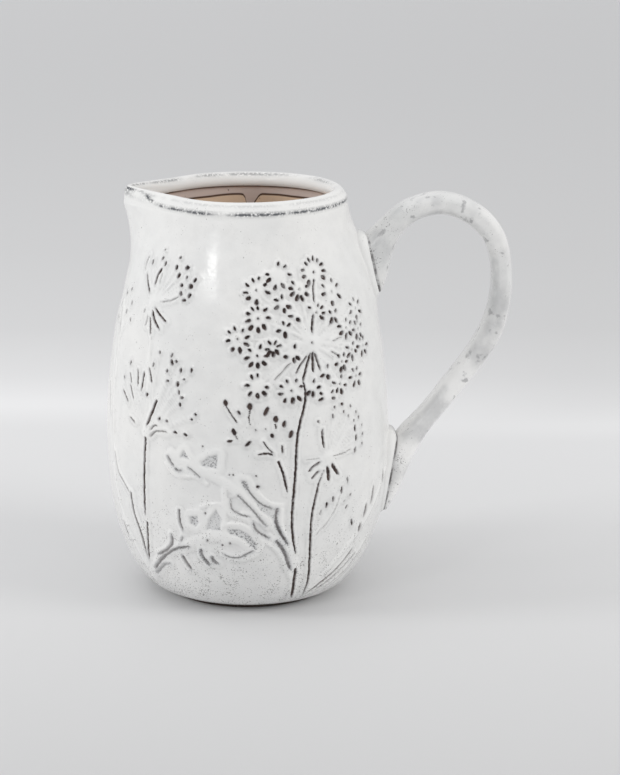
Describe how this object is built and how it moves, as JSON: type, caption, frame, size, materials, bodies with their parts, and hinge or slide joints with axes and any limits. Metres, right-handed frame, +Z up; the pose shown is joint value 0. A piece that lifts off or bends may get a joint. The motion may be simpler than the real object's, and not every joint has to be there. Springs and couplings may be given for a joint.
{
  "type": "ceramic pitcher",
  "caption": "White-glazed ceramic pitcher with a pear-shaped body, a rolled rim drawn into a pouring lip, a strap handle on clay pads, and raised meadow flowers all round.",
  "frame": {"origin": "where the body's axis meets the flat underside of the base, which is the plane that the pitcher stands on", "axes": "+Z up along the body's axis, +X from the axis towards the handle, -X the way the lip pours"},
  "size_m": [0.2059, 0.1454, 0.208],
  "materials": {
    "white_glaze": "glossy opaque white glaze, grey speckle towards the foot, thin and dark in the pits of the relief",
    "worn_glaze": "the same white glaze, broken to blue grey along the edges",
    "stained_slip": "dark stained slip in the joint, matt",
    "bare_clay": "unglazed dark stoneware, matt"
  },
  "bodies": {
    "root": {"base_slab": "bare_clay", "body_wall": "white_glaze", "rim_roll": "white_glaze", "upper_handle_pad": "white_glaze", "lower_handle_pad": "white_glaze", "upper_handle_slip": "stained_slip", "lower_handle_slip": "stained_slip", "handle_strap": "worn_glaze"}
  },
  "joints": []
}
